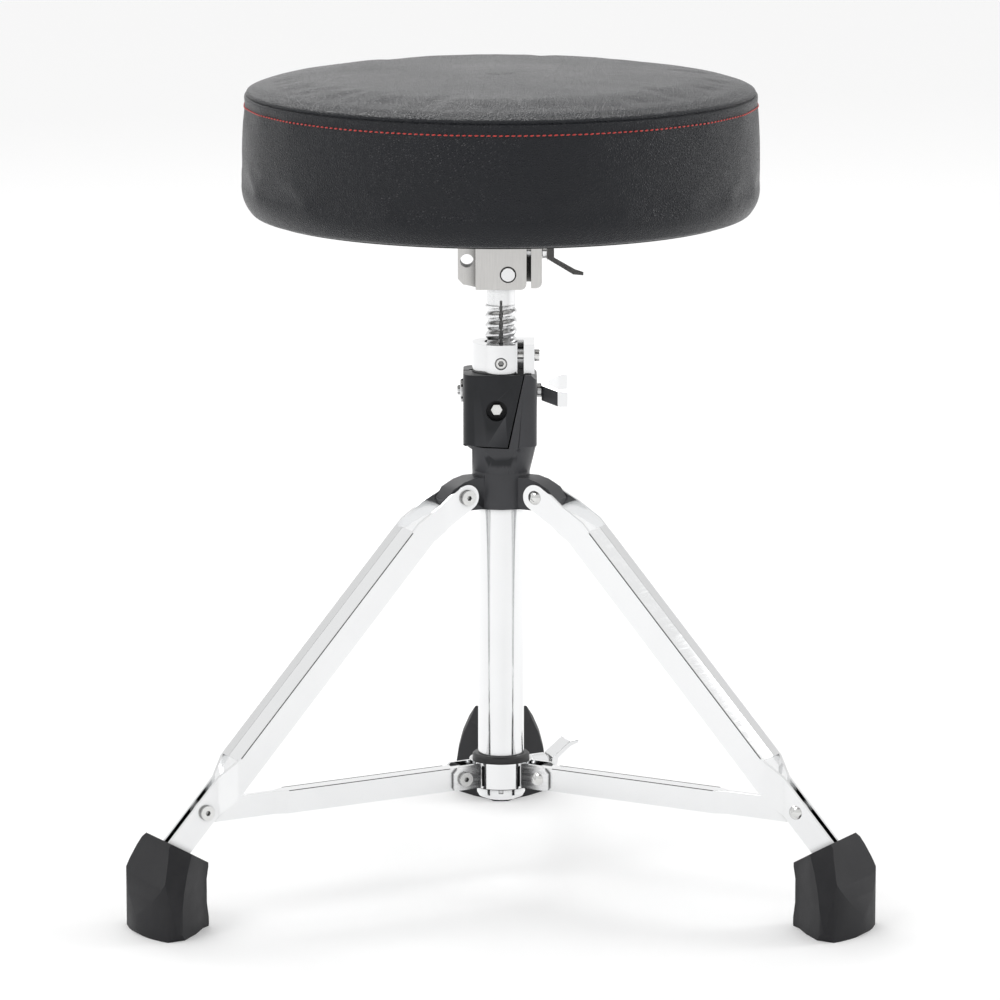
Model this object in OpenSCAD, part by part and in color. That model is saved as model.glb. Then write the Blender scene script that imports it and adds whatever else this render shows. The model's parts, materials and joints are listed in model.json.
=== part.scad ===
// Drum throne: a round padded seat on a screw rod, clamped in a folding three-leg base.
// Millimetres, +Z up. The origin is on the floor, on the axis of the centre tube.
// Leg directions: one straight back (+Y), one front left, one front right.

/* [Seat] */
// Radius of the cushion at its widest
seat_r = 177.8; // [150:0.1:200]
// Height of the cushion's underside above the floor
seat_base_z = 472; // [470:1:480]
// Height of the cushion from underside to the top seam
seat_side_h = 83.5; // [70:0.5:110]
// Rise of the crowned top above the seam
seat_crown_h = 10; // [6:0.5:20]
// Thickness of the plywood seat board
board_t = 12; // [9:0.5:18]
// How far the board's rim stays inside the cushion's widest radius
board_inset = 12.8; // [10:0.1:30]

/* [Seat bracket] */
// Height of the bracket sleeve below the seat board
bracket_h = 50.4; // [44:0.1:54]
// Half the width of the bracket's front block
bracket_half_w = 17.4; // [16:0.1:22]
// Radius of the round flange that is screwed to the board
bracket_flange_r = 58; // [45:1:80]
// Thickness of the flange
bracket_flange_t = 3; // [2:0.1:5]
// Width of the clamping slot
bracket_slot_w = 3.2; // [2:0.1:4]

/* [Screw rod] */
// Radius over the crests of the rod's thread
rod_r = 11; // [10:0.05:11.5]
// Radius of the plain neck that holds the seat bracket
neck_r = 9.8; // [9:0.05:10.5]
// Distance between thread crests
thread_pitch = 6.7; // [4:0.1:8]
// Depth of the rounded thread
thread_depth = 1.3; // [0.8:0.1:2]
// Width of the keyway along the rod
keyway_w = 3.2; // [2:0.1:5]
// Depth of the keyway
keyway_d = 2.4; // [1.5:0.1:3.5]
// Length of rod below the seat bracket, neck and thread together
rod_len = 232; // [225:1:245]
// Length of plain neck showing below the bracket
neck_show = 13; // [6:1:20]

/* [Memory collar] */
// Outer radius of the collar
collar_r = 20; // [18:0.1:22]
// Height of the collar
collar_h = 20; // [14:0.5:26]
// Width of the collar's slot
collar_slot_w = 4.4; // [2:0.1:5]

/* [Receiver] */
// Height of the receiver's top face above the floor
receiver_top_z = 362.6; // [358:0.1:368]
// Height of the upper clamp block
block_h = 49.6; // [45:0.1:54]
// Left face of the clamp block, measured from the axis
block_left = 26; // [25:0.1:30]
// Right face of the clamp block, measured from the axis
block_right = 24.7; // [23:0.1:28]
// Front and back faces of the clamp block, measured from the axis
block_half_d = 22.5; // [21:0.1:26]
// Outer radius of the round socket below the block
socket_r = 19.9; // [19:0.1:22]
// Gap round the swinging jaw
jaw_gap = 0.9; // [0.6:0.1:1.4]
// Radius of the jaw's hinge pin
jaw_pin_r = 2; // [1.5:0.1:2.5]
// Depth of the socket that the centre tube goes up into
socket_depth = 28; // [22:0.5:34]
// Height of the socket's lower end above the floor
socket_base_z = 268.4; // [264:0.1:270]

/* [Centre tube] */
// Outer radius of the centre tube
tube_r = 15.9; // [14.5:0.1:16.2]
// Wall of the centre tube
tube_wall = 1.6; // [1.2:0.1:2.4]
// Height of the tube's lower end above the floor
tube_base_z = 66; // [64:0.1:67]

/* [Legs] */
// Distance of the upper leg pivots from the axis
leg_pivot_x = 32.5; // [31.5:0.1:35]
// Height of the upper leg pivots
leg_pivot_z = 278; // [277:0.1:280]
// Distance of the leg's bend from the axis
leg_bend_x = 66; // [64:0.5:70]
// Height of the leg pivot above the bend
leg_bend_drop = 20.65; // [18:0.05:24]
// Distance of the brace pivot on the leg from the axis
foot_pivot_x = 232.9; // [210:0.1:280]
// Height of the brace pivots, level with each other when the legs are spread
brace_z = 79; // [78:0.1:81]
// Width of the leg's side strips
strip_w = 17.8; // [15:0.1:19]
// Thickness of the side strips
strip_t = 2; // [1.5:0.1:2.5]
// Half the width over the strips at the upper pivot
leg_top_half = 10.5; // [10:0.1:12]
// Half the width over the strips along the leg
leg_mid_half = 13; // [12:0.1:15]
// Half the width over the strips at the foot
leg_low_half = 4.4; // [4:0.1:5.5]
// Length of leg below the brace pivot
leg_tail = 45; // [38:0.5:48]
// Rise of the roofed outer face
roof_h = 1.9; // [1:0.1:3]

/* [Braces] */
// Distance of the brace pivots on the hub from the axis
hub_pivot_x = 33.4; // [32.5:0.1:36]
// Height of the brace channels
brace_h = 16; // [13:0.1:17]
// Half the width of the channel
brace_half = 5.5; // [4.5:0.1:6]
// Wall of the channel
brace_wall = 1.5; // [1:0.1:2]
// Gap at each side of a brace inside the hub's ears and the leg's strips
brace_gap = 0.4; // [0.3:0.05:0.6]
// Length of the flattened end that goes between the leg strips
brace_flat_len = 62; // [58:1:70]

/* [Hub] */
// Outer radius of the sliding hub ring
hub_r = 22; // [21:0.1:23]
// Height of the hub ring
hub_h = 17.8; // [15:0.1:18]
// Thickness of the hub's ears
ear_t = 2; // [1.5:0.1:2.5]
// Radius of the black bush in the hub
bush_r = 19.8; // [18.5:0.1:20.5]
// Height of the bush lip above the ring
bush_lip = 4.4; // [3:0.1:6]
// Direction of the hub's wing screw
hub_screw_az = 30; // [20:1:40]

/* [Feet] */
// Height of the feet
foot_h = 64.5; // [60:0.5:74]
// Half the width of the feet at the floor
foot_half_w = 34; // [28:0.1:38]
// Depth of the feet from inner to outer face
foot_d = 53.5; // [46:0.5:58]

/* [Fasteners and clearances] */
// Radius of the pivot bolts
bolt_r = 3; // [2.5:0.05:3.2]
// Radial clearance of a turning pin in its hole
pin_gap = 0.06; // [0.02:0.01:0.1]
// Gap between round parts that slide or turn without being a fit
slide_gap = 0.3; // [0.25:0.05:0.5]
// Radius of the wing screws
wing_bolt_r = 3.5; // [3:0.1:4]
// Length of each wing
wing_len = 20; // [16:0.5:22]
// Width of each wing
wing_w = 11; // [9:0.5:13]

/* [Hidden] */
$fn = 96;

az_back = 90;
az_left = 210;
az_right = 330;
eps = 0.01;
far = 400;

chrome = [0.88, 0.89, 0.90];
steel = [0.75, 0.74, 0.72];
black = [0.09, 0.09, 0.10];
vinyl = [0.12, 0.12, 0.13];
rubber = [0.13, 0.13, 0.14];

// Seat levels
seat_seam_z = seat_base_z + seat_side_h;
seat_top_z = seat_seam_z + seat_crown_h;
stitch_z = seat_seam_z - 8;
board_r = seat_r - board_inset;
bracket_top_z = seat_base_z - bracket_flange_t;
bracket_low_z = seat_base_z - bracket_h;
bracket_half_d = 20;
bracket_bolt_z = bracket_low_z + 10.5;
bracket_ear_t = 7.4;
bracket_right = bracket_half_w + bracket_slot_w + bracket_ear_t;
bracket_left = 29.6;
bracket_wing_z = bracket_low_z + 26;
bracket_wing_y = -14;

// Rod levels
rod_top_z = bracket_top_z - 4;
thread_top_z = bracket_low_z - neck_show;
rod_low_z = bracket_low_z - rod_len;

// Receiver levels
block_low_z = receiver_top_z - block_h;
socket_floor_z = socket_base_z + socket_depth;
rod_hole_r = rod_r + slide_gap;
nut_low_z = socket_floor_z;
nut_h = 14;
nut_r = tube_r - tube_wall + 0.7;
collar_low_z = receiver_top_z + slide_gap;
collar_bolt_y = rod_r + 2.4;
collar_bolt_z = collar_low_z + 12.5;
collar_bolt_r = 2.5;
collar_ear_half = collar_bolt_y + 3.6;
collar_ear_x = 2;
collar_ear_end = rod_r + 12;
set_screw_r = 3.4;
set_screw_sunk = 0.6;
set_screw_len = collar_r - set_screw_sunk - rod_r - 1.4;
set_screw_z = 7.4;
jaw_pin_x = -20.3;
jaw_pin_y = 3;
knuckle_r = 4.6;
knuckle_low_z = block_low_z + 8;
knuckle_high_z = receiver_top_z - 8;
jaw_screw_y = 17.2;
jaw_screw_z = block_low_z + 33;
jaw_hex_x = -3;
jaw_hex_z = block_low_z + 25;
jaw_nut_sunk = 4.8;
jaw_stud_len = block_half_d - jaw_nut_sunk - rod_r - 0.7;

// Leg plane points: [distance from the axis, height]
leg_bend_z = leg_pivot_z - leg_bend_drop;
leg_slope = atan2(leg_bend_z - brace_z, foot_pivot_x - leg_bend_x);
leg_dir = [cos(leg_slope), -sin(leg_slope)];
leg_out = [sin(leg_slope), cos(leg_slope)];
leg_low = [foot_pivot_x, brace_z];
leg_bend = [leg_bend_x, leg_bend_z];
leg_top = [leg_pivot_x, leg_pivot_z];
leg_end = leg_low + leg_tail * leg_dir;
neck_dir = (leg_bend - leg_top) / norm(leg_bend - leg_top);
neck_out = [-neck_dir[1], neck_dir[0]];
strip_half = strip_w / 2;
roof_start = leg_bend + 6 * leg_dir;
roof_len = norm(leg_low - leg_bend) - 6 - 40;

// Hub levels
hub_low_z = brace_z - hub_h / 2 + 0.8;
hub_high_z = hub_low_z + hub_h;
ear_low_z = hub_low_z + 0.3;
ear_high_z = hub_high_z - 0.3;
ear_in = brace_half + brace_gap;
ear_out = ear_in + ear_t;
ear_reach = hub_pivot_x + 8.6;
hub_screw_z = hub_low_z + hub_h / 2 + 1;
hub_boss_end = 34.5;

// Foot plane points
foot_outer = leg_end[0] + 21.4;
foot_inner = foot_outer - foot_d;
pocket_gap = 0.15;
notch_low_z = brace_z - 14.2;

// Board fixing
screw_r = 2.2;
board_cover = 3;

// ---------- shared shapes ----------

// Turns a leg-plane part to its own direction
module at_azimuth(az) {
    rotate([0, 0, az]) children();
}

// Extrudes an outline drawn in the leg plane sideways by half_w each way
module sideways(half_w) {
    rotate([90, 0, 0])
        translate([0, 0, -half_w])
            linear_extrude(height = 2 * half_w) children();
}

// A round bar along local Y in the leg plane
module cross_bar(p, r, y0, y1) {
    translate([p[0], y0, p[1]])
        rotate([-90, 0, 0]) cylinder(r = r, h = y1 - y0);
}

// A bar along X from x0 to x1
module bar_x(x0, x1, y, z, r) {
    translate([x0, y, z])
        rotate([0, 90, 0]) cylinder(r = r, h = x1 - x0);
}

// Socket-headed side and domed side of a pivot bolt, both outside a stack 2 * half_w wide
module bolt_ends(p, half_w, head_r) {
    difference() {
        cross_bar(p, head_r, half_w, half_w + 2.6);
        translate([p[0], half_w + 0.8, p[1]])
            rotate([-90, 0, 0]) cylinder(r = bolt_r * 0.62, h = 4, $fn = 6);
    }
    intersection() {
        cross_bar(p, head_r, -half_w - 2.2, -half_w);
        translate([p[0], -half_w + 4.2, p[1]]) sphere(r = 6.4);
    }
}

// A wing screw along +X: shaft_len goes into the clamp, the wings stand outside x = 0
module wing_screw(shaft_len, turn, lean) {
    hub_len = 8;
    hub_r0 = 5;
    plate_t = 2.4;
    rotate([0, 90, 0]) translate([0, 0, -shaft_len]) cylinder(r = wing_bolt_r, h = shaft_len + 1);
    rotate([0, 90, 0]) cylinder(r = hub_r0, h = hub_len);
    rotate([turn, 0, 0])
        for (side = [0, 180])
            rotate([side, 0, 0])
                translate([0, -wing_w / 2, 0])
                    rotate([90, 0, 0]) mirror([0, 0, 1])
                        linear_extrude(height = wing_w)
                            polygon([
                                [hub_len - 5, 0], [hub_len, 0], [hub_len, hub_r0],
                                [hub_len + lean, wing_len - 7], [hub_len + lean + 6, wing_len - 5],
                                [hub_len + lean + 6, wing_len - 5 + plate_t],
                                [hub_len + lean - 1, wing_len - 5 + plate_t - 0.6],
                                [hub_len - 5, hub_r0 + 1]
                            ]);
}

// ---------- seat ----------

module seat_cushion() color(vinyl)
    difference() {
        rotate_extrude()
            polygon(concat(
                [[0, seat_base_z], [board_r, seat_base_z]],
                [for (a = [-75:15:0])
                    [seat_r - 14 + 14 * cos(a) - 2 * sin(-a / 2), seat_base_z + 14 + 14 * sin(a)]],
                [[seat_r, seat_base_z + 26], [seat_r - 4, seat_seam_z]],
                [for (a = [15:15:90])
                    [seat_r - 24 + 20 * cos(a), seat_seam_z - 0.5 + (seat_crown_h - 2) * sin(a)]],
                [[seat_r * 0.6, seat_top_z - 0.8], [0, seat_top_z]]
            ));
        translate([0, 0, seat_base_z - 1]) cylinder(r = board_r + slide_gap, h = board_t + 1 + slide_gap);
    }

module seat_stitching() color([0.75, 0.1, 0.08])
    rotate_extrude()
        translate([seat_r - 3.2, stitch_z]) circle(r = 0.6, $fn = 16);

module seat_board() color([0.72, 0.56, 0.38])
    difference() {
        translate([0, 0, seat_base_z]) cylinder(r = board_r, h = board_t);
        // Pilot holes for the bracket screws
        bracket_screw_places()
            translate([0, 0, seat_base_z - 1]) cylinder(r = screw_r + pin_gap, h = board_t + 1 - board_cover);
    }

// Positions of the four screws that hold the bracket to the board
module bracket_screw_places() {
    for (a = [45:90:315])
        rotate([0, 0, a]) translate([bracket_flange_r - 10, 0, 0]) children();
}

module bracket_screws() color(steel)
    bracket_screw_places() {
        translate([0, 0, bracket_top_z - 2.4]) cylinder(r = 4.5, h = 2.4);
        translate([0, 0, bracket_top_z])
            cylinder(r = screw_r, h = bracket_flange_t + board_t - board_cover - 0.4);
    }

module seat_bracket() color(steel)
    difference() {
        union() {
            translate([0, 0, bracket_top_z]) cylinder(r = bracket_flange_r, h = bracket_flange_t);
            // Front block and sleeve
            translate([0, bracket_half_d, 0]) rotate([90, 0, 0]) linear_extrude(height = 2 * bracket_half_d)
                polygon(concat(
                    [[-bracket_half_w, bracket_top_z + eps], [-bracket_half_w, bracket_low_z]],
                    [for (a = [270:22.5:360])
                        [bracket_half_w - 4 + 4 * cos(a), bracket_low_z + 4 + 4 * sin(a)]],
                    [[bracket_half_w, bracket_top_z + eps]]
                ));
            // Left fin with a chamfered lower corner
            translate([0, 3, 0]) rotate([90, 0, 0])
                linear_extrude(height = 15)
                    polygon([
                        [-bracket_half_w + 1, bracket_low_z + 0.6],
                        [-bracket_left + 3.6, bracket_low_z + 2.6],
                        [-bracket_left, bracket_low_z + 6.5], [-bracket_left, bracket_top_z + eps],
                        [-bracket_half_w + 1, bracket_top_z + eps]
                    ]);
            // Right clamping ear, joined to the sleeve behind the rod
            translate([0, bracket_half_d - 1, 0]) rotate([90, 0, 0])
                linear_extrude(height = 2 * bracket_half_d - 2)
                polygon(concat(
                    [[bracket_right - bracket_ear_t, bracket_top_z - 4],
                    [bracket_right - bracket_ear_t, bracket_low_z + 1]],
                    [for (a = [270:22.5:360])
                        [bracket_right - 4 + 4 * cos(a), bracket_low_z + 5 + 4 * sin(a)]],
                    [[bracket_right, bracket_top_z - 4]]
                ));
            translate([bracket_half_w - 1, bracket_half_d - 9, bracket_low_z + 1])
                cube([bracket_slot_w + 2, 8, bracket_h - 9]);
        }
        // Hole for the rod's neck
        translate([0, 0, bracket_low_z - 1])
            cylinder(r = neck_r + pin_gap, h = rod_top_z - bracket_low_z + 2);
        // Slot from the front to the hole
        translate([bracket_half_w, -bracket_half_d - 1, bracket_low_z - 1])
            cube([bracket_slot_w, 2 * bracket_half_d - 8, bracket_h - 7]);
        translate([neck_r - 4, -1, bracket_low_z - 1])
            cube([bracket_half_w, 2.4, bracket_h - 7]);
        // Wing screw hole and front bolt hole
        bar_x(2, bracket_right + 1, bracket_wing_y, bracket_wing_z, wing_bolt_r + pin_gap);
        translate([4.8, -bracket_half_d - 1, bracket_bolt_z]) rotate([-90, 0, 0]) {
            cylinder(r = 5.6, h = 3);
            cylinder(r = 3 + pin_gap, h = 8);
        }
        // Hole through the left fin
        translate([-bracket_left + 6.2, -20, bracket_low_z + 19])
            rotate([-90, 0, 0]) cylinder(r = 4.6, h = 40);
        bracket_screw_places() translate([0, 0, bracket_top_z - 1]) cylinder(r = screw_r + pin_gap, h = 6);
    }

module bracket_clamp_bolt() color(chrome)
    translate([4.8, -bracket_half_d - 0.6, bracket_bolt_z]) rotate([-90, 0, 0]) {
        cylinder(r = 4.8, h = 2.5);
        cylinder(r = 3, h = 7);
    }

module seat_wing_screw() color(chrome)
    translate([bracket_right + slide_gap, bracket_wing_y, bracket_wing_z])
        wing_screw(bracket_right - 6, 165, 14);

// ---------- rod and collar ----------

// Outline of the rod: plain neck above, rounded thread rings below
module screw_rod() color(chrome)
    difference() {
        rotate_extrude()
            polygon(concat(
                [[0, rod_low_z], [rod_r - 2.5, rod_low_z]],
                [for (k = [0:floor((thread_top_z - rod_low_z - 4) / thread_pitch) - 1])
                    for (p = [[0, 0], [0.28, 1], [0.5, 1], [0.78, 0]])
                        [rod_r - thread_depth + thread_depth * p[1],
                            rod_low_z + 2 + (k + p[0]) * thread_pitch]],
                [[neck_r, thread_top_z], [neck_r, rod_top_z - 1.5], [neck_r - 1.5, rod_top_z], [0, rod_top_z]]
            ));
        translate([-keyway_w / 2, -rod_r - 1, rod_low_z + 20])
            cube([keyway_w, 1 + keyway_d + rod_r - neck_r, bracket_low_z - 6 - rod_low_z - 20]);
    }

module memory_collar() color(chrome)
    translate([0, 0, collar_low_z])
        difference() {
            union() {
                cylinder(r = collar_r, h = collar_h);
                translate([collar_ear_x, -collar_ear_half, 0])
                    cube([collar_ear_end - collar_ear_x, 2 * collar_ear_half, collar_h]);
            }
            translate([0, 0, -1]) cylinder(r = rod_hole_r, h = collar_h + 2);
            translate([rod_r + 0.2, -collar_r - 1, -1]) cube([collar_slot_w, collar_r + 7, collar_h + 2]);
            translate([0, -collar_r - 1, set_screw_z])
                rotate([-90, 0, 0]) cylinder(r = set_screw_r + pin_gap, h = set_screw_len + 2);
            translate([0, -collar_r - 1, set_screw_z])
                rotate([-90, 0, 0]) cylinder(r = set_screw_r + 0.9, h = 3);
            bar_x(rod_r - 7, collar_ear_end + 1, -collar_bolt_y, collar_bolt_z - collar_low_z,
                  collar_bolt_r + pin_gap);
        }

module collar_set_screw() color(steel)
    translate([0, -collar_r + set_screw_sunk, collar_low_z + set_screw_z])
        rotate([-90, 0, 0]) difference() {
            cylinder(r = set_screw_r, h = set_screw_len);
            translate([0, 0, -1]) cylinder(r = 2.1, h = 3.5, $fn = 6);
        }

module collar_clamp_bolt() color(steel) {
    bar_x(rod_r - 6, collar_ear_end + 1, -collar_bolt_y, collar_bolt_z, collar_bolt_r);
    bar_x(collar_ear_end, collar_ear_end + 3.5, -collar_bolt_y, collar_bolt_z, 4);
}

// ---------- receiver ----------

// Plan outline of the clamp block
module block_outline() {
    polygon(concat(
        [for (a = [180:15:270]) [-block_left + 9 + 9 * cos(a), -block_half_d + 9 + 9 * sin(a)]],
        [for (a = [270:15:360]) [block_right - 6 + 6 * cos(a), -block_half_d + 6 + 6 * sin(a)]],
        [for (a = [0:15:90]) [block_right - 6 + 6 * cos(a), block_half_d - 6 + 6 * sin(a)]],
        [for (a = [90:15:180]) [-block_left + 9 + 9 * cos(a), block_half_d - 9 + 9 * sin(a)]]
    ));
}

// Front view of the jaw, grown by g on its free edges
module jaw_front(g) {
    polygon([
        [-block_left - 2, block_low_z + 1.2 - g], [-10, block_low_z - g],
        [4.5 + g, block_low_z - 0.6 - g], [15.5 + g, receiver_top_z + g],
        [-block_left - 2, receiver_top_z + g]
    ]);
}

// The jaw's share of the block, from the front face back to y_back
module jaw_space(g, y_back) {
    translate([0, y_back, 0]) rotate([90, 0, 0])
        linear_extrude(height = y_back + far) jaw_front(g);
}

module receiver() color(black)
    difference() {
        union() {
            // Clamp block, tapering to the socket on the right
            intersection() {
                translate([0, 0, block_low_z - 22]) linear_extrude(height = block_h + 22) block_outline();
                translate([0, far / 2, 0]) rotate([90, 0, 0]) linear_extrude(height = far)
                    polygon([
                        [-block_left - 1, block_low_z], [-socket_r, block_low_z - 3],
                        [-socket_r, block_low_z - 19],
                        [socket_r, block_low_z - 20], [block_right, block_low_z + 1],
                        [block_right, receiver_top_z - 4], [block_right - 4, receiver_top_z],
                        [-block_left - 1, receiver_top_z]
                    ]);
                // Underside drawn in to the round socket
                rotate_extrude()
                    polygon([
                        [0, block_low_z - 20.5], [socket_r, block_low_z - 20.5],
                        [block_right + 1, block_low_z],
                        [far / 4, block_low_z], [far / 4, receiver_top_z + 1], [0, receiver_top_z + 1]
                    ]);
            }
            // Round socket for the centre tube
            translate([0, 0, socket_base_z]) cylinder(r = socket_r, h = block_low_z + 2 - socket_base_z);
            // Lugs that carry the legs
            for (az = [az_back, az_left, az_right]) at_azimuth(az)
                sideways(leg_top_half - strip_t - slide_gap)
                    polygon([
                        [socket_r - 4, socket_base_z], [leg_pivot_x + 5, socket_base_z],
                        [leg_pivot_x + 12, leg_pivot_z - 7], [leg_pivot_x + 15, leg_pivot_z - 1],
                        [leg_pivot_x + 10, leg_pivot_z + 6], [leg_pivot_x + 1, leg_pivot_z + 10.5],
                        [leg_pivot_x - 7, leg_pivot_z + 12.5], [socket_r - 4, leg_pivot_z + 12.5]
                    ]);
        }
        // Tube socket, rod hole and nut seat
        translate([0, 0, socket_base_z - 1]) cylinder(r = tube_r + pin_gap, h = socket_depth + 1);
        translate([0, 0, socket_floor_z - eps]) cylinder(r = nut_r + pin_gap, h = nut_h);
        translate([0, 0, socket_floor_z]) cylinder(r = rod_hole_r, h = far);
        // Space for the jaw and its knuckle
        jaw_space(jaw_gap, 0.4);
        translate([jaw_pin_x, jaw_pin_y, knuckle_low_z - 0.4])
            cylinder(r = knuckle_r + 0.5, h = knuckle_high_z - knuckle_low_z + 0.8);
        translate([-block_left - 2, -1, knuckle_low_z - 0.4])
            cube([11.4, 4, knuckle_high_z - knuckle_low_z + 0.8]);
        // Room for the jaw's left edge, which swings back as the jaw opens
        translate([-block_left - 2, -0.6, block_low_z - 4])
            cube([block_left + 2 + jaw_pin_x, 2.2, block_h + 8]);
        translate([jaw_pin_x, jaw_pin_y, block_low_z - 1]) cylinder(r = jaw_pin_r + pin_gap, h = block_h + 2);
        // Cross hole for the wing screw
        bar_x(-block_left - 1, block_right + 1, jaw_screw_y, jaw_screw_z, wing_bolt_r + pin_gap);
        // Pivot holes in the lugs
        for (az = [az_back, az_left, az_right]) at_azimuth(az)
            cross_bar(leg_top, bolt_r + pin_gap, -14, 14);
    }

module thread_nut() color(steel)
    translate([0, 0, nut_low_z]) difference() {
        cylinder(r = nut_r, h = nut_h - 0.4);
        translate([0, 0, -1]) cylinder(r = rod_hole_r, h = nut_h + 2);
    }

module clamp_jaw() color(black)
    difference() {
        union() {
            intersection() {
                translate([0, 0, block_low_z - 1]) linear_extrude(height = block_h + 1) block_outline();
                jaw_space(0, -0.5);
            }
            translate([jaw_pin_x, jaw_pin_y, knuckle_low_z])
                cylinder(r = knuckle_r, h = knuckle_high_z - knuckle_low_z);
            translate([-block_left + 1.2, -3, knuckle_low_z])
                cube([8.8, 3 + jaw_pin_y, knuckle_high_z - knuckle_low_z]);
        }
        translate([0, 0, block_low_z - 5]) cylinder(r = rod_hole_r + 0.3, h = block_h + 10);
        translate([jaw_pin_x, jaw_pin_y, block_low_z - 1]) cylinder(r = jaw_pin_r + pin_gap, h = block_h + 2);
        // Counterbore with the hex nut
        translate([jaw_hex_x, -block_half_d - 1, jaw_hex_z]) rotate([-90, 0, 0]) cylinder(r = 7.2, h = 9.8);
        translate([jaw_hex_x, -block_half_d - 1, jaw_hex_z]) rotate([-90, 0, 0]) cylinder(r = 2.6, h = 20);
    }

module jaw_hex_nut() color(steel)
    translate([jaw_hex_x, -block_half_d + jaw_nut_sunk, jaw_hex_z]) rotate([-90, 0, 0]) {
        cylinder(r = 4.4, h = 4, $fn = 6);
        cylinder(r = 2.4, h = jaw_stud_len);
    }

module jaw_hinge_pin() color(steel)
    translate([jaw_pin_x, jaw_pin_y, block_low_z + 2]) cylinder(r = jaw_pin_r, h = block_h - 2.4);

module jaw_bolt_washer() color(chrome)
    difference() {
        bar_x(-block_left - 2.2, -block_left, jaw_screw_y, jaw_screw_z, 8.4);
        bar_x(-block_left - 3, -block_left + 1, jaw_screw_y, jaw_screw_z, wing_bolt_r + pin_gap);
    }

module jaw_wing_screw() color(chrome)
    translate([block_right + slide_gap, jaw_screw_y, jaw_screw_z])
        wing_screw(block_right + block_left + 4.5, 103, 7);

// ---------- tube ----------

module centre_tube() color(chrome)
    translate([0, 0, tube_base_z]) difference() {
        cylinder(r = tube_r, h = socket_floor_z - tube_base_z);
        translate([0, 0, -1]) cylinder(r = tube_r - tube_wall, h = socket_floor_z - tube_base_z + 2);
    }

module tube_end_cap() color(chrome)
    difference() {
        union() {
            translate([0, 0, tube_base_z]) cylinder(r = tube_r - tube_wall - pin_gap, h = 14);
            rotate_extrude()
                polygon([
                    [0, tube_base_z - 4.8], [tube_r - 4, tube_base_z - 4.8],
                    [tube_r - 0.6, tube_base_z - 3.4],
                    [tube_r + 0.8, tube_base_z - 1], [tube_r + 0.8, tube_base_z + 3.4],
                    [tube_r + pin_gap, tube_base_z + 3.4], [tube_r + pin_gap, tube_base_z - eps],
                    [0, tube_base_z - eps]
                ]);
        }
        translate([-1.6, -tube_r - 2, tube_base_z + 0.6]) cube([3.2, 3, 4]);
        translate([0, 0, tube_base_z + 3]) cylinder(r = tube_r - tube_wall - 2, h = 14);
    }

// ---------- hub ----------

module hub_ring() color(chrome)
    difference() {
        union() {
            translate([0, 0, hub_low_z]) cylinder(r = hub_r, h = hub_h);
            for (az = [az_back, az_left, az_right]) at_azimuth(az)
                for (side = [-1, 1])
                    translate([0, side * (ear_in + ear_t / 2), 0])
                        sideways(ear_t / 2)
                            polygon([
                                [hub_r - 1.6, ear_low_z], [ear_reach - 1.5, ear_low_z],
                                [ear_reach, ear_low_z + 1.5],
                                [ear_reach, ear_high_z - 5], [ear_reach - 5, ear_high_z],
                                [hub_r - 1.6, ear_high_z]
                            ]);
            at_azimuth(hub_screw_az) bar_x(hub_r - 1.6, hub_boss_end, 0, hub_screw_z, 7.4);
        }
        translate([0, 0, hub_low_z - 1]) cylinder(r = bush_r + pin_gap, h = hub_h + 2);
        for (az = [az_back, az_left, az_right]) at_azimuth(az)
            cross_bar([hub_pivot_x, brace_z], bolt_r + pin_gap, -12, 12);
        at_azimuth(hub_screw_az) bar_x(10, hub_boss_end + 1, 0, hub_screw_z, wing_bolt_r + pin_gap);
        // Relief slots beside the roots of the ears
        for (az = [az_back, az_left, az_right], side = [-26, 26])
            rotate([0, 0, az + side]) translate([hub_r - 5, -1.2, hub_low_z + 1.6])
                cube([8, 2.4, hub_h - 3.4]);
    }

module hub_bush() color(black)
    translate([0, 0, hub_low_z - 1]) difference() {
        union() {
            cylinder(r = bush_r, h = hub_h + bush_lip - 0.2);
            translate([0, 0, hub_h + bush_lip - 0.2]) cylinder(r1 = bush_r, r2 = bush_r - 1.2, h = 1.2);
        }
        translate([0, 0, -1]) cylinder(r = tube_r + pin_gap, h = hub_h + bush_lip + 3);
        rotate([0, 0, hub_screw_az])
            bar_x(10, bush_r + 1, 0, hub_screw_z - hub_low_z + 1, wing_bolt_r + pin_gap);
    }

module hub_wing_screw() color(chrome)
    at_azimuth(hub_screw_az)
        translate([hub_boss_end + slide_gap, 0, hub_screw_z])
            wing_screw(hub_boss_end - tube_r - slide_gap, 12, 9);

module brace_pivot_bolts() color(steel)
    for (az = [az_back, az_left, az_right]) at_azimuth(az) {
        cross_bar([hub_pivot_x, brace_z], bolt_r, -ear_out, ear_out);
        bolt_ends([hub_pivot_x, brace_z], ear_out, 4.9);
    }

// ---------- legs ----------

// Side outline of a leg strip, round at the upper pivot
module leg_outline() {
    union() {
        translate(leg_top) circle(r = strip_half);
        polygon([
            leg_top - strip_half * neck_out, leg_top + strip_half * neck_out,
            leg_bend + strip_half * neck_out + 1.2 * neck_dir, leg_bend + strip_half * leg_out + 2 * leg_dir,
            leg_end + strip_half * leg_out, leg_end - strip_half * leg_out,
            leg_bend - strip_half * leg_out, leg_bend - strip_half * neck_out - 1.2 * neck_dir
        ]);
    }
}

// Plan band of one strip: close at the pivot, wide along the leg, close again at the foot
module strip_band() {
    x1 = leg_pivot_x + 13;
    x2 = x1 + 9;
    x3 = leg_low[0] - 20;
    x4 = leg_low[0] - 9;
    polygon([
        [0, leg_top_half], [x1, leg_top_half], [x2, leg_mid_half], [x3, leg_mid_half],
        [x4, leg_low_half], [far, leg_low_half], [far, leg_low_half - strip_t],
        [x4 - 1, leg_low_half - strip_t], [x3 - 1, leg_mid_half - strip_t],
        [x2 + 0.6, leg_mid_half - strip_t], [x1 + 0.6, leg_top_half - strip_t], [0, leg_top_half - strip_t]
    ]);
}

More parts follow.
